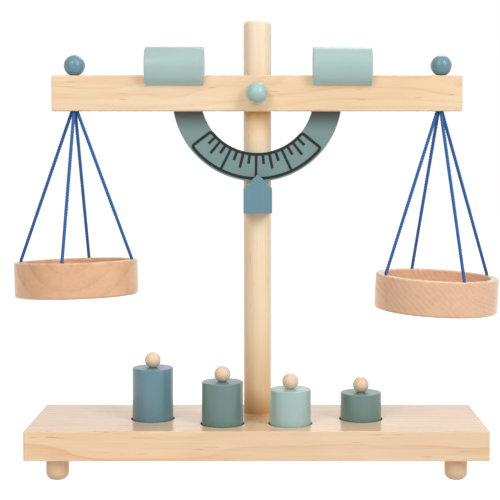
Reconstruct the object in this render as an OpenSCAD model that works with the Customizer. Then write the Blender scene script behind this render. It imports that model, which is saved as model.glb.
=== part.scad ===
// Toy beam balance: a wooden stand, a beam with sliders and a dial, two hung pans and four weights.
// Millimetres. +Z is up, -Y is the front. The origin is on the floor under the middle of the base board.

/* [Base board] */
// Length of the base board, left to right
base_l = 340; // [320:1:400]
// Depth of the base board, front to back
base_d = 100; // [96:1:140]
// Thickness of the base board
base_t = 22; // [20:1:30]
// Radius of the board's upright corners
base_corner_r = 1.5; // [0.5:0.5:4]

/* [Feet] */
// Diameter of each foot
foot_d = 16.8; // [14:0.1:20]
// Height that the feet lift the board
foot_h = 16.4; // [14:0.1:25]
// Distance of a foot from the middle, left to right
foot_x = 147; // [120:1:150]
// Distance of a foot from the middle, front to back
foot_y = 36; // [30:0.5:38]

/* [Post] */
// Diameter of the post
post_d = 21.4; // [20:0.1:24]
// Height of the post's top above the floor
post_top = 342.4; // [325:0.1:380]
// Distance of the post behind the middle of the board
post_y = 21; // [21:0.5:26]

/* [Beam] */
// Length of the beam
beam_l = 310.4; // [300:0.1:330]
// Height of the beam's section
beam_h = 27; // [24:0.5:30]
// Thickness of the beam, front to back
beam_t = 12; // [11:0.5:13]
// Height of the pivot above the floor
pivot_z = 285.8; // [275:0.1:295]
// Distance of each cord hole from the pivot
arm = 138.6; // [132:0.1:142]

/* [Pivot] */
// Diameter of the axle
axle_d = 8; // [6:0.5:10]
// Clearance between the axle and the beam's bore, on the radius
axle_play = 0.08; // [0.02:0.01:0.1]
// Diameter of the painted beads
bead_d = 16; // [14:0.5:18]
// Offset of the right cord bead from its hole
bead_right_offset = 1.1; // [-1.5:0.1:1.5]

/* [Dial] */
// Outer radius of the half ring
dial_r = 64.8; // [60:0.1:66]
// Inner radius of the half ring
dial_inner_r = 43.2; // [38:0.1:48]
// Thickness of the dial
dial_t = 5; // [3:0.5:5]
// Drop of the ring's centre below the pivot
dial_drop = 2.1; // [0:0.1:4]

/* [Pointer] */
// Width of the pointer
pointer_w = 21.8; // [18:0.1:24]
// Height of its lower edge above the floor
pointer_z = 194.6; // [190:0.1:200]
// Height of its shoulders above its lower edge
pointer_side_h = 19.1; // [16:0.1:21]
// Offset of the pointer from the middle of the post, to the right
pointer_x = 0.5; // [-1:0.1:1]

/* [Sliders] */
// Diameter of the sliders
slider_d = 30.8; // [29:0.1:34]
// Length of the sliders
slider_l = 44.3; // [40:0.1:50]
// Distance of the left slider from the pivot
slider_left_x = 62.6; // [50:0.1:80]
// Distance of the right slider from the pivot
slider_right_x = 64.6; // [50:0.1:80]

/* [Pans] */
// Outer diameter of a pan
pan_d = 93.3; // [85:0.1:100]
// Height of a pan
pan_h = 26.5; // [22:0.5:32]
// Thickness of a pan's wall
pan_wall = 6.5; // [5.5:0.1:8]
// Thickness of a pan's floor
pan_floor = 5; // [4:0.1:8]
// Extra thickness of the left pan's floor, which balances the beam
floor_trim = 0.102; // [0:0.001:0.2]
// Middle of the left rim: distance from the pivot, and height above the floor
rim_left = [138, 158.8]; // [130:0.1:170]
// Middle of the right rim: distance from the pivot, and height above the floor
rim_right = [137.1, 147.7]; // [130:0.1:170]
// Lean of the left pan about X and Y, in degrees
lean_left = [-2, -1.6]; // [-5:0.1:5]
// Lean of the right pan about X and Y, in degrees
lean_right = [1, 2.6]; // [-5:0.1:5]
// Turn of the left pan's cord holes, in degrees
turn_left = -5; // [-45:0.5:45]
// Turn of the right pan's cord holes, in degrees
turn_right = 20; // [-45:0.5:45]

/* [Cords] */
// Diameter of the cords
cord_d = 2.4; // [1.5:0.1:2.6]

/* [Weights] */
// Diameter of the weights
weight_d = 31; // [28:0.1:31.5]
// Rise of each weight above the board, left to right
weight_rise = [39.2, 31.5, 26, 20.3]; // [15:0.1:45]
// Diameter of the recesses that the weights stand in
recess_d = 33.2; // [32:0.1:35]
// Depth of the recesses
recess_depth = 6; // [3:0.5:8]
// Diameter of the knobs
knob_d = 12.2; // [10:0.1:14]

/* [Hidden] */
$fn = 64;

pine = "#f0d3a6";
beech = "#e0b48c";
plain_wood = "#ecd0a8";
blue_paint = "#6d97a6";
sage_paint = "#6f8b81";
mint_paint = "#b0cfc6";
dial_paint = "#7c9b91";
cord_blue = "#2b5ba8";
steel = "#a8abad";

// Heights and depths that several pieces share
board_top = foot_h + base_t;
beam_y = -2;
beam_front = beam_y - beam_t / 2;
beam_back = beam_y + beam_t / 2;
beam_top = pivot_z + beam_h / 2;
beam_bottom = pivot_z - beam_h / 2;
post_front = post_y - post_d / 2;

// Joints of the wood: sockets are a little wider than what is glued into them
glue_gap = 0.05;
foot_socket = 6;
foot_round = 5.6;
post_socket = 16;
post_round = 2.5;
post_screw_d = 4;
post_screw_l = 42;
axle_in_post = 14;
axle_in_bead = 10;
bead_gap = 0.5;
bead_back = beam_front - bead_gap;
bead_flat_r = 4.4;
spacer_d = 16;
spacer_gap = 0.2;

// Dial
dial_back = beam_back + dial_t;
dial_screw_d = 3;
dial_screw_l = 13;
dial_screw_x = 54;
dial_screw_z = pivot_z - 7;

// Pointer: its tip stands in front of the dial, its body reaches back round the post
pointer_front = -1.5;
pointer_tip_t = 4.5;
pointer_back = 13;
pointer_body_top = pivot_z - dial_drop - dial_r - 0.9;

// Sliders ride on the beam's top edge
slider_play = 0.15;
slider_roof = 0.1;
slider_z = beam_top + 6.3;
slider_round = 0.8;

// Cord holes: a narrow bore that the knot can't pass, a well round the knot, and a wide mouth for the cords to swing
hole_d = 4.6;
well_d = 6.8;
well_h = 7;
mouth_d = 11;
mouth_h = 2.8;
knot_d = 5.4;
hang_z = beam_bottom + 3.3;
tail_d = 4.4;
tail_in_bead = 6;
cord_top_z = beam_bottom + 0.7;
cord_top_r = 1.75;

// Pans
pan_r = pan_d / 2;
pan_round = 1.2;
pan_foot_round = 2.6;
cord_ring_r = pan_r - 3.7;
cord_bend = 0.8;
cord_socket = 6;
wall_volume = pan_h * (pan_r * pan_r - pow(pan_r - pan_wall, 2));
floor_volume = pan_floor * pow(pan_r - pan_wall, 2);
pan_weight_drop = (wall_volume * pan_h / 2 + floor_volume * (pan_h - pan_floor / 2))
    / (wall_volume + floor_volume);

// Weights, left to right
weight_x = [-79.4, -25.8, 25, 79];
weight_y = [-4.5, -22, -22, -4.5];
weight_round = 0.5;
weight_paint = [blue_paint, sage_paint, mint_paint, sage_paint];
peg_d = 4;
peg_in_weight = 7;
peg_in_knob = 6;

// Points along an arc, and vectors turned about X and Y
function arc(centre, r, from, to, steps = 6) =
    [for (i = [0:steps]) let (a = from + (to - from) * i / steps) centre + r * [cos(a), sin(a)]];
function turned_x(v, a) = [v.x, v.y * cos(a) - v.z * sin(a), v.y * sin(a) + v.z * cos(a)];
function turned_y(v, a) = [v.x * cos(a) + v.z * sin(a), v.y, v.z * cos(a) - v.x * sin(a)];
function leaned(v, lean) = turned_y(turned_x(v, lean.x), lean.y);

// A pan's own frame has its origin at the middle of the rim. Front to back, its weight hangs under its cord hole
function rim_centre(side, rim, lean) =
    [side * rim.x, beam_y + pan_weight_drop * leaned([0, 0, 1], lean).y, rim.y];
function on_rim(angle, r, z) = [r * cos(angle), r * sin(angle), z];
function cord_top_at(side, angle) =
    [side * arm + cord_top_r * cos(angle), beam_y + cord_top_r * sin(angle), cord_top_z];

// A turned piece standing on z = 0, with its top and bottom edges rounded
module turned(d, h, top_r, bottom_r) {
    points = concat([[0, 0]], arc([d / 2 - bottom_r, bottom_r], bottom_r, -90, 0),
        arc([d / 2 - top_r, h - top_r], top_r, 0, 90), [[0, h]]);
    rotate_extrude() polygon(points);
}

// A straight rod from one point to another
module rod(from, to, d) {
    v = to - from;
    translate(from) rotate([0, acos(v.z / norm(v)), atan2(v.y, v.x)]) cylinder(h = norm(v), d = d);
}

// A countersunk wood screw, head down at z = 0, pointing up
module wood_screw(d, l) {
    cylinder(h = d / 2, r1 = d, r2 = d / 2);
    cylinder(h = l - d, d = d);
    translate([0, 0, l - d]) cylinder(h = d, r1 = d / 2, r2 = d / 8);
}

// The hole that a wood screw sits in
module screw_hole(d, l) {
    translate([0, 0, -0.01]) cylinder(h = d / 2, r1 = d + 0.1, r2 = d / 2 + 0.1);
    cylinder(h = l + 1, d = d + 2 * glue_gap);
}

// Lays a piece that was drawn standing up along +Y instead
module along_y() rotate([-90, 0, 0]) children();

// A wooden ball standing on a flat at z = 0, with a blind bore from below
module bored_ball(d, flat_r, bore_d, bore_depth, bore_offset = 0) difference() {
    translate([0, 0, sqrt(d * d / 4 - flat_r * flat_r)]) sphere(d = d);
    translate([-d, -d, -d]) cube([2 * d, 2 * d, d]);
    translate([bore_offset, 0, -1]) cylinder(h = bore_depth + 1 + glue_gap, d = bore_d + 2 * glue_gap);
}

module base_board() color(pine) difference() {
    translate([0, 0, foot_h]) linear_extrude(base_t) union() {
        square([base_l - 2 * base_corner_r, base_d], center = true);
        square([base_l, base_d - 2 * base_corner_r], center = true);
        for (x = [-1, 1], y = [-1, 1])
            translate([x * (base_l / 2 - base_corner_r), y * (base_d / 2 - base_corner_r)])
                circle(r = base_corner_r);
    }
    for (i = [0:3])
        translate([weight_x[i], weight_y[i], board_top - recess_depth])
            cylinder(h = recess_depth + 1, d = recess_d);
    for (x = [-1, 1], y = [-1, 1])
        translate([x * foot_x, y * foot_y, foot_h - 1])
            cylinder(h = foot_socket + 1 + glue_gap, d = foot_d + 2 * glue_gap);
    translate([0, post_y, board_top - post_socket]) cylinder(h = post_socket + 1, d = post_d + 2 * glue_gap);
    translate([0, post_y, foot_h]) screw_hole(post_screw_d, post_screw_l);
}

module foot(side_x, side_y) color(plain_wood)
    translate([side_x * foot_x, side_y * foot_y, 0])
        turned(foot_d, foot_h + foot_socket, 0.6, foot_round);

module post() color(pine) difference() {
    translate([0, post_y, board_top - post_socket])
        turned(post_d, post_top - board_top + post_socket, post_round, 0.6);
    translate([0, post_front - 1, pivot_z]) along_y()
        cylinder(h = axle_in_post + 1 + glue_gap, d = axle_d + 2 * glue_gap);
    translate([0, post_y, foot_h]) screw_hole(post_screw_d, post_screw_l);
}

module post_screw() color(steel)
    translate([0, post_y, foot_h]) wood_screw(post_screw_d, post_screw_l);

module pointer() color(blue_paint) difference() {
    translate([pointer_x, pointer_back, pointer_z]) rotate([90, 0, 0])
        linear_extrude(pointer_back - pointer_front)
            polygon([[-pointer_w / 2, 0], [pointer_w / 2, 0], [pointer_w / 2, pointer_side_h],
                [0, pointer_side_h + pointer_w / 2], [-pointer_w / 2, pointer_side_h]]);
    translate([-pointer_w, pointer_front + pointer_tip_t, pointer_body_top])
        cube([2 * pointer_w, pointer_back, pointer_w]);
    translate([0, post_y, pointer_z - 1]) cylinder(h = 2 * pointer_w, d = post_d + 2 * glue_gap);
}

module pivot_axle() color(beech)
    translate([0, bead_back - axle_in_bead, pivot_z]) along_y()
        cylinder(h = post_front + axle_in_post - bead_back + axle_in_bead, d = axle_d);

module pivot_spacer() color(plain_wood)
    translate([0, beam_back + spacer_gap, pivot_z]) along_y() difference() {
        cylinder(h = post_front - beam_back - spacer_gap - glue_gap, d = spacer_d);
        translate([0, 0, -1]) cylinder(h = dial_t + 4, d = axle_d + 2 * glue_gap);
    }

module pivot_bead() color(mint_paint)
    translate([0, bead_back, pivot_z]) rotate([90, 0, 0])
        bored_ball(bead_d, bead_flat_r, axle_d, axle_in_bead);

module beam() color(pine) difference() {
    translate([-beam_l / 2, beam_front, beam_bottom]) cube([beam_l, beam_t, beam_h]);
    translate([0, beam_front - 1, pivot_z]) along_y() cylinder(h = beam_t + 2, d = axle_d + 2 * axle_play);
    for (x = [-arm, arm]) translate([x, beam_y, beam_bottom]) {
        translate([0, 0, -1]) cylinder(h = beam_h + 2, d = hole_d);
        translate([0, 0, -1]) cylinder(h = well_h + 1, d = well_d);
        translate([0, 0, -0.01]) cylinder(h = mouth_h, d1 = mouth_d, d2 = well_d);
    }
    dial_screw_places() screw_hole(dial_screw_d, dial_screw_l);
}

module dial_screw_places()
    for (x = [-1, 1]) translate([x * dial_screw_x, dial_back, dial_screw_z]) rotate([90, 0, 0]) children();

module dial() color(dial_paint) difference() {
    translate([0, dial_back, pivot_z - dial_drop]) rotate([90, 0, 0]) linear_extrude(dial_t) difference() {
        circle(r = dial_r, $fn = 128);
        circle(r = dial_inner_r, $fn = 128);
        translate([-2 * dial_r, 0]) square(4 * dial_r);
    }
    dial_screw_places() screw_hole(dial_screw_d, dial_screw_l);
}

module dial_screws() color(steel)
    dial_screw_places() wood_screw(dial_screw_d, dial_screw_l);

module slider(x) color(mint_paint) difference() {
    translate([x - slider_l / 2, beam_y, slider_z]) rotate([0, 90, 0])
        turned(slider_d, slider_l, slider_round, slider_round);
    translate([x - slider_l, beam_front - slider_play, beam_top + slider_roof - slider_d])
        cube([2 * slider_l, beam_t + 2 * slider_play, slider_d]);
}

module cord_bead(x, offset) color(blue_paint)
    translate([x + offset, beam_y, beam_top])
        bored_ball(bead_d, tail_d / 2 + 0.4, tail_d, tail_in_bead, -offset);

module cord_tail(x) color(cord_blue)
    translate([x, beam_y, hang_z + knot_d / 2 + 0.6])
        cylinder(h = beam_top + tail_in_bead - hang_z - knot_d / 2 - 0.6, d = tail_d);

module cord_knot(x) color(cord_blue)
    translate([x, beam_y, hang_z]) sphere(d = knot_d);

module cord(side, rim, lean, angle) {
    bend = rim_centre(side, rim, lean) + leaned(on_rim(angle, cord_ring_r, cord_bend), lean);
    foot = rim_centre(side, rim, lean) + leaned(on_rim(angle, cord_ring_r, -cord_socket), lean);
    color(cord_blue) {
        rod(cord_top_at(side, angle), bend, cord_d);
        translate(bend) sphere(d = 1.04 * cord_d);
        rod(foot, bend, cord_d);
    }
}

module pan(side, rim, lean, turn) {
    inner_r = pan_r - pan_wall;
    floor_z = pan_floor - pan_h + (side < 0 ? floor_trim : 0);
    points = concat([[0, -pan_h]], arc([pan_r - pan_foot_round, pan_foot_round - pan_h], pan_foot_round, -90, 0),
        arc([pan_r - pan_round, -pan_round], pan_round, 0, 90),
        arc([inner_r + pan_round, -pan_round], pan_round, 90, 180),
        arc([inner_r - pan_foot_round, floor_z + pan_foot_round], pan_foot_round, 0, -90),
        [[0, floor_z]]);
    color(beech) translate(rim_centre(side, rim, lean)) rotate([lean.x, lean.y, 0]) difference() {
        rotate_extrude($fn = 96) polygon(points);
        for (k = [0:3])
            translate(on_rim(turn + 90 * k, cord_ring_r, -cord_socket - glue_gap))
                cylinder(h = cord_socket + 1, d = cord_d + 2 * glue_gap);
    }
}

module weight(i) {
    foot_z = board_top - recess_depth;
    top_z = board_top + weight_rise[i];
    color(weight_paint[i]) translate([weight_x[i], weight_y[i], 0]) difference() {
        translate([0, 0, foot_z]) turned(weight_d, top_z - foot_z, weight_round, weight_round);
        translate([0, 0, top_z - peg_in_weight - glue_gap])
            cylinder(h = peg_in_weight + 1, d = peg_d + 2 * glue_gap);
    }
}

module knob(i) color(plain_wood)
    translate([weight_x[i], weight_y[i], board_top + weight_rise[i]])
        bored_ball(knob_d, peg_d / 2 + 0.4, peg_d, peg_in_knob);

module knob_peg(i) color(beech)
    translate([weight_x[i], weight_y[i], board_top + weight_rise[i] - peg_in_weight])
        cylinder(h = peg_in_weight + peg_in_knob, d = peg_d);

base_board();
foot(-1, -1);  // foot_front_left
foot(1, -1);  // foot_front_right
foot(-1, 1);  // foot_back_left
foot(1, 1);  // foot_back_right
post();
post_screw();
pointer();
pivot_axle();
pivot_spacer();
pivot_bead();
beam();
dial();
dial_screws();
slider(-slider_left_x);  // slider_left
slider(slider_right_x);  // slider_right
cord_bead(-arm, 0);  // bead_left
cord_bead(arm, bead_right_offset);  // bead_right
cord_tail(-arm);  // cord_tail_left
cord_tail(arm);  // cord_tail_right
cord_knot(-arm);  // cord_knot_left
cord_knot(arm);  // cord_knot_right
cord(-1, rim_left, lean_left, turn_left);  // cord_left_1
cord(-1, rim_left, lean_left, turn_left + 90);  // cord_left_2
cord(-1, rim_left, lean_left, turn_left + 180);  // cord_left_3
cord(-1, rim_left, lean_left, turn_left + 270);  // cord_left_4
cord(1, rim_right, lean_right, turn_right);  // cord_right_1
cord(1, rim_right, lean_right, turn_right + 90);  // cord_right_2
cord(1, rim_right, lean_right, turn_right + 180);  // cord_right_3
cord(1, rim_right, lean_right, turn_right + 270);  // cord_right_4
pan(-1, rim_left, lean_left, turn_left);  // pan_left
pan(1, rim_right, lean_right, turn_right);  // pan_right
weight(0);  // weight_1
weight(1);  // weight_2
weight(2);  // weight_3
weight(3);  // weight_4
knob(0);  // knob_1
knob(1);  // knob_2
knob(2);  // knob_3
knob(3);  // knob_4
knob_peg(0);  // knob_peg_1
knob_peg(1);  // knob_peg_2
knob_peg(2);  // knob_peg_3
knob_peg(3);  // knob_peg_4
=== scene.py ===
"""The looks of a child's wooden toy balance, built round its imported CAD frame.

Metres. +Z is up, -Y is the front, and the origin is on the floor under the middle of the base board.
"""
import math

import bmesh
import bpy
from mathutils import Euler, Matrix, Vector


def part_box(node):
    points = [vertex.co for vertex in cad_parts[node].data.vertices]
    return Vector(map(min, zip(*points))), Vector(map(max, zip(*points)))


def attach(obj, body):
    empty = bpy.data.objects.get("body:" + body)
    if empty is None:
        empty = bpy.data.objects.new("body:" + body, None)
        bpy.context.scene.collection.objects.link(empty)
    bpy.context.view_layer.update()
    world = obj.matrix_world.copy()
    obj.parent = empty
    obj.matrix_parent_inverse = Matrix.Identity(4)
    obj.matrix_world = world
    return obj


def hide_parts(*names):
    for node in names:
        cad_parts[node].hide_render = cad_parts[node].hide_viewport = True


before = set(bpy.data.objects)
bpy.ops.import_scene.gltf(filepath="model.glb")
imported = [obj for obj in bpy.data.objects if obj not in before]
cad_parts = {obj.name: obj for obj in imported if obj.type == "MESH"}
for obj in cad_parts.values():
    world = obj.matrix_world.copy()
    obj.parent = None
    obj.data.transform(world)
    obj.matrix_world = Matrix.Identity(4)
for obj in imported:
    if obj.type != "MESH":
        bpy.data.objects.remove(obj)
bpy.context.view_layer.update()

UP = Vector((0, 0, 1))
# Turns that take Z to the grain's way, and to the front or the back
ALONG_X = (0, math.radians(90), 0)
ALONG_Y = (math.radians(-90), 0, 0)
ALONG_Z = (0, 0, 0)
TO_FRONT = Matrix.Rotation(math.radians(90), 4, "X")
TO_BACK = Matrix.Rotation(math.radians(-90), 4, "X")

# Room between glued parts, and how far the yarns of a cord stand out past its stated diameter
GLUE_GAP = 0.00005
YARNS_PROUD = 1.12

# The cords' route, as in the CAD source: from the knot straight to a bend above the rim, then into the rim
ARM = 0.1386
BEAM_Y = -0.002
CORD_D = 0.0024
CORD_TOP_RISE = 0.0007
CORD_TOP_R = 0.00175
CORD_BEND_RISE = 0.0008
CORD_SOCKET = 0.006
CORD_BEND_R = 0.006
CORD_RING_INSET = 0.0037
PAN_R = 0.04665
PAN_H = 0.0265
PAN_WALL = 0.0065
PAN_FLOOR = 0.005
PAN_WEIGHT_DROP = 0.017015
PANS = {
    "left": {"side": -1, "rim": (0.138, 0.1588), "lean": (-2, -1.6), "turn": -5},
    "right": {"side": 1, "rim": (0.1371, 0.1477), "lean": (1, 2.6), "turn": 20},
}


def camera():
    """From a metre in front, a little below the beam and tipped down slightly."""
    data = bpy.data.cameras.new("camera")
    data.sensor_width = 36
    data.lens = 92.46
    data.shift_x = -0.0404
    data.shift_y = -0.1276
    data.dof.use_dof = False
    made = bpy.data.objects.new("camera", data)
    made.location = (0.00996, -0.9785, 0.241)
    made.rotation_euler = (math.radians(88.5), 0, 0)
    bpy.context.scene.collection.objects.link(made)
    bpy.context.scene.camera = made


# ---------------------------------------------------------------- mesh helpers


def new_object(name, bm, sharp=35):
    """An object from a bmesh, shaded smooth apart from edges sharper than that angle in degrees."""
    bmesh.ops.recalc_face_normals(bm, faces=bm.faces)
    for face in bm.faces:
        face.smooth = True
    for edge in bm.edges:
        edge.smooth = not edge.is_manifold or edge.calc_face_angle(0) < math.radians(sharp)
    mesh = bpy.data.meshes.new(name)
    bm.to_mesh(mesh)
    bm.free()
    made = bpy.data.objects.new(name, mesh)
    bpy.context.scene.collection.objects.link(made)
    return made


def piece(made, material, slot, body, *nodes):
    """Finishes a piece: its material, the body that it rides on and the CAD nodes that it stands for."""
    made.data.materials.clear()
    made.data.materials.append(material)
    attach(made, body)
    if nodes:
        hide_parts(*nodes)
    return made


def upright(node):
    """The middle of a turned node's foot, its radius and its height."""
    low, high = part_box(node)
    return Vector(((low.x + high.x) / 2, (low.y + high.y) / 2, low.z)), (high.x - low.x) / 2, high.z - low.z


def rounded(corners, steps=8):
    """An open outline through corners (x, y, radius), with an arc at each corner that has a radius."""
    points = []
    for i, (x, y, radius) in enumerate(corners):
        here = Vector((x, y))
        if not radius:
            points.append(here)
            continue
        before = (Vector(corners[i - 1][:2]) - here).normalized()
        after = (Vector(corners[(i + 1) % len(corners)][:2]) - here).normalized()
        half = before.angle(after) / 2
        centre = here + (before + after).normalized() * radius / math.sin(half)
        start = here + before * radius / math.tan(half) - centre
        end = here + after * radius / math.tan(half) - centre
        first = math.atan2(start.y, start.x)
        turn = math.remainder(math.atan2(end.y, end.x) - first, 2 * math.pi)
        for k in range(steps + 1):
            a = first + turn * k / steps
            points.append(centre + radius * Vector((math.cos(a), math.sin(a))))
    return points


def ball_profile(radius, tall, bore_r, bore_depth, steps=40):
    """The outline of a ball that is that tall, as it stands on a flat, with a blind bore from below."""
    flat_r = math.sqrt(radius ** 2 - (tall - radius) ** 2)
    centre = math.sqrt(radius ** 2 - flat_r ** 2)
    first = math.atan2(-centre, flat_r)
    arc = []
    for k in range(steps + 1):
        a = first + (math.pi / 2 - first) * k / steps
        arc.append(Vector((radius * math.cos(a), centre + radius * math.sin(a))))
    arc[-1].x = 0
    return [Vector((0, bore_depth)), Vector((bore_r, bore_depth)), Vector((bore_r, 0)), *arc]


def lathe(name, profile, place, steps=96, sharp=35):
    """A turned piece: its outline, from axis to axis as (radius, height), spun round Z and put in place."""
    bm = bmesh.new()
    rings = []
    for radius, height in profile:
        if radius < 1e-7:
            rings.append([bm.verts.new((0, 0, height))])
            continue
        angles = [2 * math.pi * k / steps for k in range(steps)]
        rings.append([bm.verts.new((radius * math.cos(a), radius * math.sin(a), height)) for a in angles])
    for low, high in zip(rings, rings[1:]):
        for k in range(steps):
            after = k + 1
            corners = [low[k % len(low)], low[after % len(low)], high[after % len(high)], high[k % len(high)]]
            corners = list(dict.fromkeys(corners))
            if len(corners) > 2:
                bm.faces.new(corners)
    bm.transform(place)
    return new_object(name, bm, sharp)


def cut(made, cutters, operation="DIFFERENCE"):
    """Takes the cutters' shapes out of a piece, or keeps only what it shares with them."""
    for cutter in cutters:
        step = made.modifiers.new("cut", "BOOLEAN")
        step.operation = operation
        step.object = cutter
        step.solver = "EXACT"
    bpy.context.view_layer.update()
    solid = made.evaluated_get(bpy.context.evaluated_depsgraph_get())
    bm = bmesh.new()
    bm.from_mesh(solid.to_mesh())
    made.modifiers.clear()
    result = new_object(made.name, bm)
    name = made.name
    for old in [made, *cutters]:
        bpy.data.objects.remove(old)
    result.name = name
    return result


def plain_copy(node):
    """A copy of a CAD node with its flat faces joined up."""
    bm = bmesh.new()
    bm.from_mesh(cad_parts[node].data)
    bmesh.ops.remove_doubles(bm, verts=bm.verts, dist=1e-6)
    bmesh.ops.dissolve_limit(bm, angle_limit=math.radians(0.5), verts=bm.verts, edges=bm.edges)
    plain = bpy.data.meshes.new(node)
    index = {vert: i for i, vert in enumerate(bm.verts)}
    faces = [[index[vert] for vert in face.verts] for face in bm.faces]
    plain.from_pydata([vert.co for vert in bm.verts], [], faces)
    bm.free()
    bm = bmesh.new()
    bm.from_mesh(plain)
    bpy.data.meshes.remove(plain)
    return new_object(node + "_visual", bm, 30)


def refined(node, width, segments=4):
    """A copy of a CAD node with its sharp edges rounded."""
    made = plain_copy(node)
    rounding = made.modifiers.new("rounding", "BEVEL")
    rounding.width = width
    rounding.segments = segments
    rounding.limit_method = "ANGLE"
    rounding.angle_limit = math.radians(30)
    rounding.harden_normals = True
    return made


def softened(node, outline, width):
    """A CAD node cut to a bar whose edges are rounded to that width. outline is its front, as (x, z)."""
    low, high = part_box(node)
    bm = bmesh.new()
    front = [bm.verts.new((x, low.y, z)) for x, z in outline]
    back = [bm.verts.new((x, high.y, z)) for x, z in outline]
    bm.faces.new(front)
    bm.faces.new(reversed(back))
    for i, vert in enumerate(front):
        bm.faces.new((vert, front[i - 1], back[i - 1], back[i]))
    bmesh.ops.recalc_face_normals(bm, faces=bm.faces)
    bmesh.ops.bevel(bm, geom=list(bm.edges), offset=width, segments=4, profile=0.5, affect="EDGES")
    bar = new_object("bar", bm)
    made = cut(plain_copy(node), [bar], "INTERSECT")
    evening = made.modifiers.new("evening", "WEIGHTED_NORMAL")
    evening.keep_sharp = True
    return made


def oblong(node):
    """The front outline of a node that is a plain bar."""
    low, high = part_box(node)
    return [(low.x, low.z), (high.x, low.z), (high.x, high.z), (low.x, high.z)]


# ---------------------------------------------------------------- cords


def lobed(strands, radius, points):
    """The outline of round strands pressed into each other, as (angle, radius, place in strand)."""
    pressed = 1.4
    strand = pressed * radius / (1 + 1 / math.sin(math.pi / strands))
    centre = radius - strand
    outline = []
    for k in range(strands):
        for i in range(points):
            away = (2 * i / points - 1) * math.pi / strands
            inside = max(0, strand ** 2 - (centre * math.sin(away)) ** 2)
            reach = centre * math.cos(away) + math.sqrt(inside)
            outline.append((2 * math.pi * k / strands + away, reach, 2 * i / points - 1))
    return outline


def twisted(name, path, diameter, strands=3, pitch=0.0068, step=0.0005, points=8, closed=False):
    """A laid cord along a path: strands that turn round each other once every pitch."""
    lengths = [0]
    for a, b in zip(path, path[1:]):
        lengths.append(lengths[-1] + (b - a).length)
    count = max(8, round(lengths[-1] / step))
    outline = lobed(strands, diameter / 2, points)
    bm = bmesh.new()
    yarn = bm.verts.layers.float_vector.new("yarn")
    rings = []
    side = None
    part = 0
    for n in range(count + (0 if closed else 1)):
        along = lengths[-1] * n / count
        while part < len(path) - 2 and lengths[part + 1] < along:
            part += 1
        span = lengths[part + 1] - lengths[part]
        here = path[part].lerp(path[part + 1], (along - lengths[part]) / span)
        ahead = (path[part + 1] - path[part]).normalized()
        side = ahead.orthogonal() if side is None else side - side.project(ahead)
        side.normalize()
        up = ahead.cross(side)
        turn = 2 * math.pi * along / pitch
        ring = []
        for angle, reach, place in outline:
            a = angle + turn
            vert = bm.verts.new(here + reach * (math.cos(a) * side + math.sin(a) * up))
            vert[yarn] = (along / pitch, place, angle)
            ring.append(vert)
        rings.append(ring)
    pairs = list(zip(rings, rings[1:]))
    if closed:
        pairs.append((rings[-1], rings[0]))
    for low, high in pairs:
        for i in range(len(outline)):
            j = (i + 1) % len(outline)
            bm.faces.new((low[i], low[j], high[j], high[i]))
    if not closed:
        bm.faces.new(reversed(rings[0]))
        bm.faces.new(rings[-1])
    return new_object(name, bm, 60)


def pan_place(pan):
    """Where a pan is: its own frame has its origin at the middle of the rim."""
    lean_x, lean_y = (math.radians(a) for a in pan["lean"])
    x, z = pan["rim"]
    place = Matrix.Translation((pan["side"] * x, BEAM_Y - PAN_WEIGHT_DROP * math.sin(lean_x), z))
    return place @ Matrix.Rotation(lean_y, 4, "Y") @ Matrix.Rotation(lean_x, 4, "X")


def cord_angles(pan):
    return [math.radians(pan["turn"] + 90 * k) for k in range(4)]


def cord_route(pan, angle):
    """A cord's middle line, from its top beside the knot down into its socket in the rim."""
    ring_r = PAN_R - CORD_RING_INSET
    out = Vector((math.cos(angle), math.sin(angle), 0))
    top = Vector((pan["side"] * ARM, BEAM_Y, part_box("beam")[0].z + CORD_TOP_RISE)) + CORD_TOP_R * out
    bend = pan_place(pan) @ (ring_r * out + CORD_BEND_RISE * UP)
    foot = pan_place(pan) @ (ring_r * out - CORD_SOCKET * UP)
    down = (bend - top).normalized()
    into = (foot - bend).normalized()
    half = down.angle(into) / 2
    reach = CORD_BEND_R * math.tan(half)
    centre = bend + (into - down).normalized() * CORD_BEND_R / math.cos(half)
    start = bend - down * reach - centre
    end = bend + into * reach - centre
    curve = [centre + CORD_BEND_R * start.slerp(end, k / 6).normalized() for k in range(7)]
    straight = [top.lerp(curve[0], k / 30) for k in range(30)]
    return straight + curve + [curve[-1].lerp(foot, k / 4) for k in range(1, 5)]


def cords(material):
    for name, pan in PANS.items():
        for k, angle in enumerate(cord_angles(pan), start=1):
            node = f"cord_{name}_{k}"
            path = cord_route(pan, angle)
            made = twisted(node + "_visual", path, YARNS_PROUD * CORD_D)
            piece(made, material, "cord", f"pan_{name}", node)


def knots(material):
    """The knots in the beam's cord holes, and the cord ends that run up from them into the beads."""
    ring_r = 0.00115
    swing = 0.0008
    rise = 1.5 * swing
    strand_d = 0.0015
    turns = [2 * math.pi * k / 120 for k in range(121)]
    for name in PANS:
        low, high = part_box(f"cord_knot_{name}")
        path = []
        for t in turns:
            r = ring_r + swing * math.cos(3 * t)
            trefoil = Vector((r * math.cos(2 * t), r * math.sin(2 * t), rise * math.sin(3 * t)))
            path.append((low + high) / 2 + trefoil)
        made = twisted(f"cord_knot_{name}_visual", path, strand_d, step=0.0003, points=6, closed=True)
        piece(made, material, "cord", f"knot_{name}", f"cord_knot_{name}")
        foot, radius, tall = upright(f"cord_tail_{name}")
        path = [foot + UP * tall * k / 10 for k in range(11)]
        made = twisted(f"cord_tail_{name}_visual", path, 2 * radius, strands=4, pitch=0.016, points=10)
        piece(made, material, "cord", "beam", f"cord_tail_{name}")


# ---------------------------------------------------------------- materials


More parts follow.
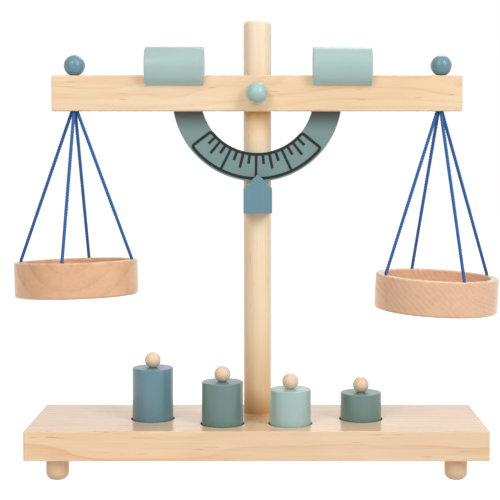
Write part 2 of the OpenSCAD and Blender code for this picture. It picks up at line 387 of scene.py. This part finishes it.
def linear(code):
    """The shader's colour for an sRGB hex code."""
    parts = [int(code[i:i + 2], 16) / 255 for i in (1, 3, 5)]
    return (*[p / 12.92 if p <= 0.04045 else ((p + 0.055) / 1.055) ** 2.4 for p in parts], 1)


class Finish:
    """A material with one Principled shader, and short ways to add nodes to it."""

    def __init__(self, name, **sockets):
        self.material = bpy.data.materials.new(name)
        self.material.use_nodes = True
        self.tree = self.material.node_tree
        self.shader = self.tree.nodes["Principled BSDF"]
        for key, value in sockets.items():
            self.shader.inputs[key.replace("_", " ")].default_value = value

    def node(self, kind, inputs=(), **settings):
        made = self.tree.nodes.new("ShaderNode" + kind)
        for key, value in settings.items():
            setattr(made, key, value)
        for key, value in dict(inputs).items():
            if isinstance(value, bpy.types.NodeSocket):
                self.tree.links.new(value, made.inputs[key])
            else:
                made.inputs[key].default_value = value
        return made

    def math(self, operation, *values, clamp=False):
        return self.node("Math", enumerate(values), operation=operation, use_clamp=clamp).outputs[0]

    def stretched(self, vector, scale):
        return self.node("Mapping", {"Vector": vector, "Scale": scale}).outputs[0]

    def noise(self, vector, scale=1.0, detail=2.0, roughness=0.5):
        inputs = {"Vector": vector, "Scale": scale, "Detail": detail, "Roughness": roughness}
        return self.node("TexNoise", inputs).outputs[0]

    def ramp(self, value, stops, interpolation="LINEAR"):
        """A colour or a grey for each value, from stops of (position, colour or grey)."""
        made = self.node("ValToRGB", {"Fac": value})
        made.color_ramp.interpolation = interpolation
        while len(made.color_ramp.elements) < len(stops):
            made.color_ramp.elements.new(0.5)
        for element, (position, colour) in zip(made.color_ramp.elements, stops):
            element.position = position
            element.color = linear(colour) if isinstance(colour, str) else (colour, colour, colour, 1)
        return made.outputs[0]

    def between(self, value, low, high, to_low, to_high):
        inputs = {"Value": value, "From Min": low, "From Max": high, "To Min": to_low, "To Max": to_high}
        return self.node("MapRange", inputs).outputs[0]

    def mix(self, factor, first, second, blend="MIX"):
        first, second = (linear(c) if isinstance(c, str) else c for c in (first, second))
        inputs = {0: factor, 6: first, 7: second}
        return self.node("Mix", inputs, data_type="RGBA", blend_type=blend).outputs[2]

    def vary(self, tone, noise, amount, clamp=False):
        """The tone, moved up and down by the noise."""
        return self.math("MULTIPLY_ADD", self.math("SUBTRACT", noise, 0.5), amount, tone, clamp=clamp)

    def shaded(self, colour, painted_light_and_shade):
        """The colour with painted shade and painted light on the front: darker where corners shade it,
        lighter where pale wood lights it.

        Each shade is (full, gone, tint): the heights where it is full and where it has faded out. It holds a
        little way past its full height, behind what casts it.
        """
        if not painted_light_and_shade:
            return colour
        holds = 1.8
        fade = 1.3
        place = self.node("TexCoord")
        height = self.node("SeparateXYZ", {0: place.outputs["Object"]}).outputs[2]
        facing = self.node("SeparateXYZ", {0: place.outputs["Normal"]}).outputs[1]
        front = self.between(facing, 0.1, -0.4, 0, 1)
        for full, gone, tint in painted_light_and_shade:
            end = full + holds * (full - gone)
            near = self.math("POWER", self.between(height, gone, full, 0, 1), fade)
            inside = self.math("COMPARE", height, (gone + end) / 2, abs(end - gone) / 2)
            amount = self.math("MULTIPLY", self.math("MULTIPLY", near, front), inside)
            colour = self.mix(amount, colour, (*tint, 1), "MULTIPLY")
        return colour

    def bump(self, height, strength, distance):
        made = self.node("Bump", {"Height": height, "Strength": strength, "Distance": distance})
        self.tree.links.new(made.outputs[0], self.shader.inputs["Normal"])

    def set(self, **sockets):
        for key, socket in sockets.items():
            self.tree.links.new(socket, self.shader.inputs[key.replace("_", " ")])
        return self.material


def wood(name, light, dark, pith, grain, ring=0.004, wave=0.006, contrast=0.6, fleck="#b87f4c", flecks=0.5,
         end=0.25, sheen=0.42, coat=0.25, painted_light_and_shade=()):
    """Wood sawn from a log: growth rings round the pith, fibres and flecks along the grain.

    pith is a point on the log's axis, and grain the turn that takes Z to that axis. ring is the rings'
    spacing and wave how far they wander, in metres. contrast, flecks and end are how much darker the late
    wood, the flecks and the end grain are.
    """
    f = Finish(name, Coat_Weight=coat, Coat_Roughness=0.12, Specular_IOR_Level=0.35)
    place = f.node("TexCoord")
    log = f.node("Mapping", {"Vector": place.outputs["Object"], "Location": pith, "Rotation": grain},
                 vector_type="TEXTURE").outputs[0]

    def grained(across, along, **settings):
        """Noise that varies that many times per metre across and along the grain."""
        return f.noise(f.stretched(log, (across, across, along)), **settings)

    # growth rings
    drift = grained(22, 5, detail=2.0)
    ripple = grained(110, 12, detail=2.0)
    from_pith = f.node("SeparateXYZ", {0: log})
    squares = [f.math("POWER", from_pith.outputs[k], 2.0) for k in (0, 1)]
    radius = f.math("SQRT", f.math("ADD", *squares))
    radius = f.math("MULTIPLY_ADD", drift, wave, radius)
    radius = f.math("MULTIPLY_ADD", ripple, wave * 0.12, radius)
    rings = f.math("FRACT", f.math("DIVIDE", radius, ring))
    late = f.ramp(rings, [(0.0, 0.12), (0.35, 0.0), (0.78, 0.55), (0.9, 1.0), (0.97, 0.9), (1.0, 0.12)])
    strength = grained(0.25 / ring, 4, detail=3.0, roughness=0.6)
    late = f.math("MULTIPLY", late, f.between(strength, 0.35, 0.65, 0.15, 1.0))
    # fibres, blotches and flecks
    fibre = grained(1500, 35, detail=3.0, roughness=0.6)
    streak = grained(330, 9, detail=3.0, roughness=0.6)
    blotch = grained(30, 9, detail=2.0)
    tone = f.math("MULTIPLY", late, contrast)
    tone = f.vary(tone, streak, 0.55)
    tone = f.vary(tone, fibre, 0.4)
    tone = f.vary(tone, blotch, 0.6)
    facing = f.node("VectorMath", {0: place.outputs["Normal"], 1: Euler(grain).to_matrix() @ UP},
                    operation="DOT_PRODUCT").outputs["Value"]
    endwise = f.math("POWER", f.math("ABSOLUTE", facing), 4.0)
    tone = f.math("MULTIPLY_ADD", endwise, end, tone)
    tone = f.math("ADD", tone, 0.18, clamp=True)
    colour = f.mix(tone, light, dark)
    dash = grained(900, 45, detail=1.0)
    dash = f.between(dash, 0.72, 0.78, 0.0, flecks)
    colour = f.mix(dash, colour, fleck)
    height = f.math("MULTIPLY_ADD", late, -0.5, f.math("MULTIPLY_ADD", dash, -0.6, fibre))
    f.bump(height, 0.25, 0.00012)
    # Painted shade and painted light by height on the front, where given
    colour = f.shaded(colour, painted_light_and_shade)
    return f.set(Base_Color=colour, Roughness=f.between(fibre, 0.3, 0.7, sheen - 0.07, sheen + 0.09))


def paint(name, colour, shade, grain, coat=0.45, painted_light_and_shade=()):
    """Satin paint over wood: faint clouds of thicker paint, and the grain as a slight relief."""
    f = Finish(name, Coat_Weight=coat, Coat_Roughness=0.22)
    place = f.node("TexCoord").outputs["Object"]
    log = f.node("Mapping", {"Vector": place, "Rotation": grain}, vector_type="TEXTURE").outputs[0]
    cloud = f.noise(f.stretched(place, (45, 45, 45)), detail=4.0, roughness=0.6)
    strokes = f.noise(f.stretched(log, (420, 420, 16)), detail=3.0, roughness=0.6)
    speck = f.noise(place, scale=1900, detail=1.0)
    tone = f.vary(0.35, cloud, 0.9)
    tone = f.vary(tone, strokes, 0.8, clamp=True)
    height = f.math("MULTIPLY_ADD", strokes, 0.7, f.math("MULTIPLY", speck, 0.3))
    f.bump(height, 0.1, 0.0001)
    rough = f.between(f.math("ADD", cloud, speck), 0.7, 1.3, 0.36, 0.5)
    # Painted shade and painted light by height on the front, where given
    return f.set(Base_Color=f.shaded(f.mix(tone, colour, shade), painted_light_and_shade), Roughness=rough)


def cotton(name, bright, deep):
    """Dyed cotton cord: fine yarns along each strand, and painted shade in the valleys between the strands.
    """
    f = Finish(name, Sheen_Weight=0.35, Sheen_Roughness=0.5, Specular_IOR_Level=0.25)
    yarn = f.node("Attribute", attribute_name="yarn").outputs["Vector"]
    lines = f.noise(f.stretched(yarn, (0.9, 5.5, 6.0)), scale=2.0, detail=3.0, roughness=0.65)
    place = f.node("TexCoord").outputs["Object"]
    fuzz = f.noise(place, scale=2600, detail=2.0)
    # painted shade, darker towards the valleys between the strands
    painted_valley_shade = f.math("POWER", f.math("ABSOLUTE", f.node("SeparateXYZ", {0: yarn}).outputs[1]), 2.5)
    tone = f.math("MULTIPLY_ADD", painted_valley_shade, 0.75, f.between(lines, 0.3, 0.7, -0.12, 0.3))
    tone = f.vary(tone, fuzz, 0.3, clamp=True)
    f.bump(f.math("ADD", lines, f.math("MULTIPLY", fuzz, 0.5)), 0.6, 0.0001)
    return f.set(Base_Color=f.mix(tone, bright, deep), Roughness=f.between(lines, 0.3, 0.7, 0.75, 0.95))


def ink(name):
    f = Finish(name, Specular_IOR_Level=0.3)
    place = f.node("TexCoord").outputs["Object"]
    grain = f.noise(place, scale=900, detail=3.0)
    colour = f.mix(f.between(grain, 0.3, 0.7, 0.0, 1.0), "#101315", "#1b1e20")
    f.bump(grain, 0.1, 0.00005)
    return f.set(Base_Color=colour, Roughness=f.between(grain, 0.3, 0.7, 0.5, 0.65))


def zinc(name):
    f = Finish(name, Metallic=1.0)
    place = f.node("TexCoord").outputs["Object"]
    crystals = f.noise(place, scale=1400, detail=3.0)
    colour = f.mix(f.between(crystals, 0.3, 0.7, 0.0, 1.0), "#c9ccce", "#9da2a6")
    f.bump(crystals, 0.15, 0.00005)
    return f.set(Base_Color=colour, Roughness=f.between(crystals, 0.3, 0.7, 0.25, 0.42))


# ---------------------------------------------------------------- stand


def base_and_feet():
    board = wood("board_pine", "#f6dcba", "#dea86a", (0.02, 0.075, -0.02), ALONG_X, ring=0.0055, wave=0.016,
                 contrast=0.5, sheen=0.2, coat=0.38)
    piece(softened("base_board", oblong("base_board"), 0.0007), board, "pine", "stand", "base_board")
    foot_round, top_round = 0.0056, 0.0006
    for side in ("front_left", "front_right", "back_left", "back_right"):
        node = "foot_" + side
        foot, radius, tall = upright(node)
        corners = [(0, 0, 0), (radius, 0, foot_round), (radius, tall, top_round), (0, tall, 0)]
        pith = (foot.x + 0.012, foot.y + 0.02, 0)
        material = wood(node + "_wood", "#e9cba7", "#dfb88f", pith, ALONG_Z, ring=0.0022, wave=0.003,
                        contrast=0.5)
        made = lathe(node + "_visual", rounded(corners, steps=14), Matrix.Translation(foot), steps=72)
        piece(made, material, "plain_wood", "stand", node)


def post():
    base, radius, tall = upright("post")
    profile = rounded([(0, 0, 0), (radius, 0, 0.0006), (radius, tall, 0.0028), (0, tall, 0)], steps=12)
    made = lathe("post_visual", profile, Matrix.Translation(base), steps=128)
    axle_low, axle_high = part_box("pivot_axle")
    axle_z = (axle_low.z + axle_high.z) / 2
    axle_r = (axle_high.z - axle_low.z) / 2
    past_front = 0.03
    bore = lathe("bore", [(0, 0), (axle_r, 0), (axle_r, past_front), (0, past_front)],
                 Matrix.Translation((0, axle_high.y, axle_z)) @ TO_FRONT)
    made = cut(made, [bore])
    top = base.z + tall
    board_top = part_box("base_board")[1].z
    beam_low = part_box("beam")[0].z
    # Painted shade and painted light on the post's front, by height
    painted_light_and_shade = [
        # painted shade, darker and warmer on the lower part of the post
        (base.z, base.z + 0.1, (0.98, 0.8, 0.58)),
        # painted shade at the post's foot, by the board
        (board_top, board_top + 0.022, (0.81, 0.69, 0.55)),
        # painted shade right under the beam
        (beam_low, beam_low - 0.0075, (0.6, 0.4, 0.1)),
        # painted light a little further below the beam
        (beam_low - 0.01, beam_low - 0.03, (1.18, 1.08, 1)),
        # paler and cooler towards the top
        (top, top - 0.12, (1, 1.03, 1.14)),
    ]
    pith = (base.x - 0.015, base.y + 0.035, 0)
    material = wood("post_pine", "#f8e6c5", "#e8c495", pith, ALONG_Z, ring=0.006, wave=0.02, contrast=0.16,
                    coat=0.35, painted_light_and_shade=painted_light_and_shade)
    piece(made, material, "pine", "stand", "post")


def pivot(beech_wood, plain):
    low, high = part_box("pivot_axle")
    radius = (high.z - low.z) / 2
    tall = high.y - low.y
    z = (low.z + high.z) / 2
    profile = rounded([(0, 0, 0), (radius, 0, 0.0005), (radius, tall, 0.0005), (0, tall, 0)])
    made = lathe("pivot_axle_visual", profile, Matrix.Translation((0, low.y, z)) @ TO_BACK, steps=48)
    piece(made, beech_wood, "beech", "stand", "pivot_axle")
    inner = radius + GLUE_GAP
    low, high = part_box("pivot_spacer")
    outer = (high.z - low.z) / 2
    tall = high.y - low.y
    ring = rounded([(inner, 0, 0.0002), (outer, 0, 0.0006), (outer, tall, 0.0006), (inner, tall, 0.0002)])
    ring.append(ring[0])
    made = lathe("pivot_spacer_visual", ring, Matrix.Translation((0, low.y, z)) @ TO_BACK, steps=64)
    weld(made)
    piece(made, plain, "plain_wood", "stand", "pivot_spacer")


def weld(made):
    """Joins the doubled ring where a closed outline meets itself."""
    bm = bmesh.new()
    bm.from_mesh(made.data)
    bmesh.ops.remove_doubles(bm, verts=bm.verts, dist=1e-6)
    bm.to_mesh(made.data)
    bm.free()


def screw(name, head, forward, diameter, length):
    """A countersunk screw with a cross recess. head is the middle of its head's face."""
    r = diameter / 2
    core_r = 0.72 * r
    rim = 0.0002
    shank = 0.0012
    thread = 0.0011
    profile = [(0, 0), (2 * r, 0), (2 * r, rim), (r, r)]
    for k in range(int((length - 1.5 * diameter) / thread)):
        foot = r + shank + k * thread
        profile += [(core_r, foot), (core_r, foot + 0.3 * thread), (r, foot + 0.5 * thread)]
        profile.append((core_r, foot + 0.7 * thread))
    profile += [(0.6 * r, length - 0.8 * diameter), (0, length)]
    place = Matrix.Translation(head) @ forward.to_track_quat("Z", "Y").to_matrix().to_4x4()
    made = lathe(name, profile, place, steps=48)
    slots = []
    for turn in (20, 110):
        bm = bmesh.new()
        bmesh.ops.create_cube(bm, size=1)
        for vert in bm.verts:
            wide = 2.3 * r if vert.co.z < 0 else 1.1 * r
            vert.co = Vector((vert.co.x * wide, vert.co.y * 0.42 * r, vert.co.z * 1.8 * r))
        bm.transform(place @ Matrix.Rotation(math.radians(turn), 4, "Z"))
        slots.append(new_object("slot", bm))
    return cut(made, slots)


def join(name, parts):
    """One object out of several."""
    bm = bmesh.new()
    for part in parts:
        bm.from_mesh(part.data)
        bpy.data.objects.remove(part)
    return new_object(name, bm)


def screws(material):
    low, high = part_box("post_screw")
    middle = (low + high) / 2
    made = screw("post_screw_visual", (middle.x, middle.y, low.z), UP, (high.x - low.x) / 2, high.z - low.z)
    piece(made, material, "steel", "stand", "post_screw")
    low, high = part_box("dial_screws")
    diameter = (high.z - low.z) / 2
    x = high.x - diameter
    z = (low.z + high.z) / 2
    front = Vector((0, -1, 0))
    pair = [screw("dial_screw", (s * x, high.y, z), front, diameter, high.y - low.y) for s in (-1, 1)]
    piece(join("dial_screws_visual", pair), material, "steel", "beam", "dial_screws")


# ---------------------------------------------------------------- beam and what it carries


def pointer(material):
    low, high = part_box("pointer")
    middle = (low.x + high.x) / 2
    shoulder = high.z - (high.x - low.x) / 2
    house = [(low.x, low.z), (high.x, low.z), (high.x, shoulder), (middle, high.z), (low.x, shoulder)]
    piece(softened("pointer", house, 0.0006), material, "blue_paint", "stand", "pointer")


def pivot_bead(material):
    """The bead on the axle's front end, with the small dimple that the paint leaves over the grain."""
    low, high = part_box("pivot_bead")
    z = (low.z + high.z) / 2
    axle_low, axle_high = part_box("pivot_axle")
    bore_r = (axle_high.z - axle_low.z) / 2 + GLUE_GAP
    profile = ball_profile((high.z - low.z) / 2, high.y - low.y, bore_r, high.y - axle_low.y + GLUE_GAP)
    made = lathe("pivot_bead_visual", profile, Matrix.Translation((0, high.y, z)) @ TO_FRONT, steps=72)
    dimple = Vector((0.0002, low.y, z + 0.0012))
    dimple_r = 0.0011
    dimple_depth = 0.00022
    for vert in made.data.vertices:
        away = (vert.co - dimple).length
        if away < dimple_r:
            vert.co.y += dimple_depth * (1 + math.cos(math.pi * away / dimple_r)) / 2
    piece(made, material, "mint_paint", "stand", "pivot_bead")


def cord_beads(material):
    for name in PANS:
        node = f"bead_{name}"
        foot, radius, tall = upright(node)
        tail_foot, tail_r, tail_tall = upright(f"cord_tail_{name}")
        bore_depth = tail_foot.z + tail_tall - foot.z + GLUE_GAP
        profile = ball_profile(radius, tall, tail_r + GLUE_GAP, bore_depth)
        made = lathe(node + "_visual", profile, Matrix.Translation(foot), steps=72)
        piece(made, material, "blue_paint", "beam", node)


def stroke(bm, points, width, front, back, closed=False):
    """A printed line of that width along points in the XZ plane, from y = front to y = back."""
    count = len(points)
    sides = []
    for i, here in enumerate(points):
        before = here - points[i - 1] if i or closed else points[1] - here
        after = points[(i + 1) % count] - here if i < count - 1 or closed else before
        way = (before.normalized() + after.normalized()).normalized()
        out = Vector((-way.y, way.x)) * width / 2
        sides.append([bm.verts.new((p.x, y, p.y)) for p in (here - out, here + out) for y in (front, back)])
    pairs = list(zip(sides, sides[1:]))
    if closed:
        pairs.append((sides[-1], sides[0]))
    for a, b in pairs:
        for i, j in ((0, 1), (1, 3), (3, 2), (2, 0)):
            bm.faces.new((a[i], a[j], b[j], b[i]))
    if not closed:
        for end in (sides[0], sides[-1]):
            bm.faces.new((end[0], end[1], end[3], end[2]))


def dial(material, line_material):
    piece(refined("dial", 0.0004), material, "dial_paint", "beam", "dial")
    low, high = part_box("dial")
    centre = Vector(((low.x + high.x) / 2, high.z))
    front = low.y
    thick, tick_thick = 0.00012, 0.000108
    width, short_width, long_width = 0.0023, 0.002116, 0.002024
    inner_r, outer_r = 0.0441, 0.0625
    half_span, turned = 52, -0.9
    small_step, small_r, middle_r = 6.45, 0.0517, 0.0560
    corner_r = 0.0022

    def at(r, degrees):
        a = math.radians(degrees + turned - 90)
        return centre + r * Vector((math.cos(a), math.sin(a)))

    def rounded_end(r, degrees, towards_r, towards_degrees):
        """The corner of the frame at (r, degrees), cut short both ways and joined by an arc."""
        step = math.degrees(corner_r / r)
        corner = at(r, degrees)
        along = at(r, degrees + (step if towards_degrees > degrees else -step))
        across = at(r + (corner_r if towards_r > r else -corner_r), degrees)
        points = []
        for k in range(7):
            u = k / 6
            points.append(along * (1 - u) ** 2 + corner * 2 * u * (1 - u) + across * u ** 2)
        return points

    span = half_span - math.degrees(corner_r / inner_r)
    outline = [at(inner_r, -span + 2 * span * k / 48) for k in range(1, 48)]
    outline += rounded_end(inner_r, half_span, outer_r, -half_span)
    outline += list(reversed(rounded_end(outer_r, half_span, inner_r, -half_span)))
    span = half_span - math.degrees(corner_r / outer_r)
    outline += [at(outer_r, span - 2 * span * k / 60) for k in range(1, 60)]
    outline += rounded_end(outer_r, -half_span, inner_r, half_span)
    outline += list(reversed(rounded_end(inner_r, -half_span, outer_r, half_span)))
    bm = bmesh.new()
    stroke(bm, outline, width, front - thick, front + thick, closed=True)
    for k in range(-7, 8):
        degrees = k * small_step
        reach, line = small_r, short_width
        if k % 4 == 0:
            reach, line = outer_r, long_width
        elif k % 2 == 0:
            reach = middle_r
        stroke(bm, [at(inner_r, degrees), at(reach, degrees)], line, front - tick_thick, front + thick)
    piece(new_object("dial_scale", bm, 20), line_material, "dial_paint", "beam")


def sliders(material):
    for side in PANS:
        node = f"slider_{side}"
        piece(refined(node, 0.0012), material, "mint_paint", node, node)


# ---------------------------------------------------------------- pans and weights


def pans(woods):
    inner_r = PAN_R - PAN_WALL
    floor_z = PAN_FLOOR - PAN_H
    foot_round, rim_round, floor_round = 0.0018, 0.0013, 0.0026
    profile = rounded([(0, -PAN_H, 0), (PAN_R, -PAN_H, foot_round), (PAN_R, 0, rim_round),
                       (inner_r, 0, rim_round), (inner_r, floor_z, floor_round), (0, floor_z, 0)], steps=7)
    ring_r = PAN_R - CORD_RING_INSET
    bore_r = CORD_D / 2 + GLUE_GAP
    bore_z = -CORD_SOCKET - 0.0001
    flare = 0.0006
    hole = [(0, bore_z), (bore_r, bore_z), (bore_r, -0.0004), (bore_r + flare, 0.0002), (0, 0.0002)]
    for name, pan in PANS.items():
        place = pan_place(pan)
        made = lathe(f"pan_{name}_visual", profile, place, steps=160)
        drills = []
        for angle in cord_angles(pan):
            spot = Vector((ring_r * math.cos(angle), ring_r * math.sin(angle), 0))
            drills.append(lathe("drill", hole, place @ Matrix.Translation(spot), steps=24))
        piece(cut(made, drills), woods[name], "beech", f"pan_{name}", f"pan_{name}")


def weights(paints, peg_wood):
    """The weights from left to right, each with its knob and the peg that joins them."""
    for i, (slot, material) in enumerate(paints, start=1):
        weight, knob, peg = f"weight_{i}", f"knob_{i}", f"knob_peg_{i}"
        foot, radius, tall = upright(weight)
        knob_foot, knob_r, knob_tall = upright(knob)
        peg_foot, peg_r, peg_tall = upright(peg)
        knob_foot.xy = peg_foot.xy = foot.xy
        bore_r = peg_r + GLUE_GAP
        bore_z = peg_foot.z - foot.z - GLUE_GAP
        profile = rounded([(0, 0, 0), (radius, 0, 0.0006), (radius, tall, 0.0007), (bore_r, tall, 0),
                           (bore_r, bore_z, 0), (0, bore_z, 0)], steps=5)
        made = lathe(weight + "_visual", profile, Matrix.Translation(foot), steps=128)
        piece(made, material, slot, weight, weight)
        bore_depth = peg_foot.z + peg_tall - knob_foot.z + GLUE_GAP
        profile = ball_profile(knob_r, knob_tall, bore_r, bore_depth)
        made = lathe(knob + "_visual", profile, Matrix.Translation(knob_foot), steps=64)
        grain = (math.radians(70 + 25 * i), math.radians(40 * i), 0)
        pith = (foot.x + 0.004 * (-1) ** i, foot.y - 0.012, knob_foot.z + 0.018)
        knob_wood = wood(knob + "_wood", "#f1dabf", "#e5c3a0", pith, grain, ring=0.0018, wave=0.003,
                         contrast=0.35, end=0.1)
        piece(made, knob_wood, "plain_wood", weight, knob)
        corners = [(0, 0, 0), (peg_r, 0, 0.0004), (peg_r, peg_tall, 0.0004), (0, peg_tall, 0)]
        made = lathe(peg + "_visual", rounded(corners, steps=3), Matrix.Translation(peg_foot), steps=32)
        piece(made, peg_wood, "beech", weight, peg)


# ---------------------------------------------------------------- room


WHITE = (1, 1, 1, 1)
LAMP_COLOUR = (0.955, 1, 1.07)
LAMPS = {
    "left_softbox": {"azimuth": -25, "elevation": 32, "watts": 7.8},
    "right_softbox": {"azimuth": 44, "elevation": 34, "watts": 10.6},
    "top_softbox": {"azimuth": 10, "elevation": 75, "watts": 2.5},
    "back_softbox": {"azimuth": 165, "elevation": 46, "watts": 4},
}


def floor():
    """A pale floor: it looks white, and throws little light back up."""
    wide = 4
    corners = [(-wide, -wide, 0), (wide, -wide, 0), (wide, wide, 0), (-wide, wide, 0)]
    sheet = bpy.data.meshes.new("floor")
    sheet.from_pydata(corners, [], [(0, 1, 2, 3)])
    made = bpy.data.objects.new("floor", sheet)
    bpy.context.scene.collection.objects.link(made)
    plain = Finish("floor_white", Roughness=0.9, Base_Color=(0.58, 0.555, 0.53, 1), Specular_IOR_Level=0,
                   Emission_Color=WHITE)
    bounced = plain.node("LightPath").outputs["Is Diffuse Ray"]
    made.data.materials.append(plain.set(Emission_Strength=plain.between(bounced, 0, 1, 1.0, 0)))


def lamps():
    """Soft boxes that all face the middle of the object from the same distance."""
    aim = Vector((0, 0, 0.17))
    distance = 1.5
    for name, lamp in LAMPS.items():
        data = bpy.data.lights.new(name, "AREA")
        data.shape = "RECTANGLE"
        data.size = 0.5
        data.size_y = 0.9
        data.energy = lamp["watts"]
        data.color = LAMP_COLOUR
        made = bpy.data.objects.new(name, data)
        a, e = math.radians(lamp["azimuth"]), math.radians(lamp["elevation"])
        way = Vector((math.sin(a) * math.cos(e), -math.cos(a) * math.cos(e), math.sin(e)))
        made.location = aim + distance * way
        made.rotation_euler = way.to_track_quat("Z", "Y").to_euler()
        bpy.context.scene.collection.objects.link(made)


def studio():
    """White walls all round, which light the object only a little."""
    world = bpy.data.worlds.new("studio")
    bpy.context.scene.world = world
    world.use_nodes = True
    nodes, links = world.node_tree.nodes, world.node_tree.links
    path = nodes.new("ShaderNodeLightPath")
    tint = nodes.new("ShaderNodeMix")
    tint.data_type = "RGBA"
    tint.inputs[6].default_value = WHITE
    tint.inputs[7].default_value = (0.25, 0.18, 0.12, 1)
    links.new(path.outputs["Is Diffuse Ray"], tint.inputs[0])
    links.new(tint.outputs[2], nodes["Background"].inputs["Color"])
    bpy.context.scene.view_settings.view_transform = "Standard"


# ---------------------------------------------------------------- the order of work

camera()
blue_cotton = cotton("blue_cotton", "#3070b6", "#1b4179")
cords(blue_cotton)
knots(blue_cotton)

base_and_feet()
post()
peg_beech = wood("peg_beech", "#e3b98f", "#bf8c62", (0.02, 0.03, 0.2), ALONG_Z, ring=0.0025)
spacer_wood = wood("spacer_wood", "#ecd0a8", "#cfa06d", (0.02, 0, 0.3), ALONG_Y, ring=0.0025)
pivot(peg_beech, spacer_wood)
screws(zinc("zinc"))

blue = paint("blue_paint", "#638d9c", "#57808f", ALONG_Z)
sage = paint("sage_paint", "#668784", "#5d7b78", ALONG_Z)
mint = paint("mint_paint", "#a9c7c5", "#9cbcb8", ALONG_Z)
pointer(blue)
pivot_bead(mint)
beam_low, beam_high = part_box("beam")
beam_pine = wood("beam_pine", "#f3dcba", "#deae77", (0, 0.03, beam_high.z + 0.01), ALONG_X, ring=0.0042,
                 wave=0.03, contrast=0.36, flecks=0.85)
piece(softened("beam", oblong("beam"), 0.0009), beam_pine, "pine", "beam", "beam")
# Painted shade: the dial's front darkened just under the beam
painted_shade_under_beam = [(beam_low.z + 0.001, beam_low.z - 0.0155, (0.05, 0.0, 0.0))]
dial(paint("dial_paint", "#71908d", "#678583", ALONG_X, painted_light_and_shade=painted_shade_under_beam), ink("ink"))
cord_beads(blue)
slider_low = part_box("slider_left")[0]
# Painted light: the sliders' fronts lightened towards their bottoms
painted_light_below = [(slider_low.z, slider_low.z + 0.015, (1.22, 1.3, 1.42))]
sliders(paint("slider_paint", "#a6c0bc", "#9bb7b2", ALONG_X, coat=0.15, painted_light_and_shade=painted_light_below))

left, right = pan_place(PANS["left"]).translation, pan_place(PANS["right"]).translation
left_pith = (left.x + 0.0005, 0, left.z + 0.0162)
right_pith = (right.x + 0.11, 0, right.z + 0.1)
pans({
    "left": wood("left_beech", "#e9be98", "#cb976e", left_pith, ALONG_Y, ring=0.0125, wave=0.004,
                 contrast=0.55, fleck="#a9734c", flecks=0.3, coat=0.4),
    "right": wood("right_beech", "#efcaa9", "#d4a17c", right_pith, ALONG_Y, ring=0.0032, wave=0.014,
                  contrast=0.32, fleck="#a9734c", flecks=0.5, coat=0.4),
})
deep_blue = paint("weight_blue", "#5f8a99", "#547d8d", ALONG_Z)
coats = [("blue_paint", deep_blue), ("sage_paint", sage), ("mint_paint", mint), ("sage_paint", sage)]
weights(coats, peg_beech)
floor()
lamps()
studio()
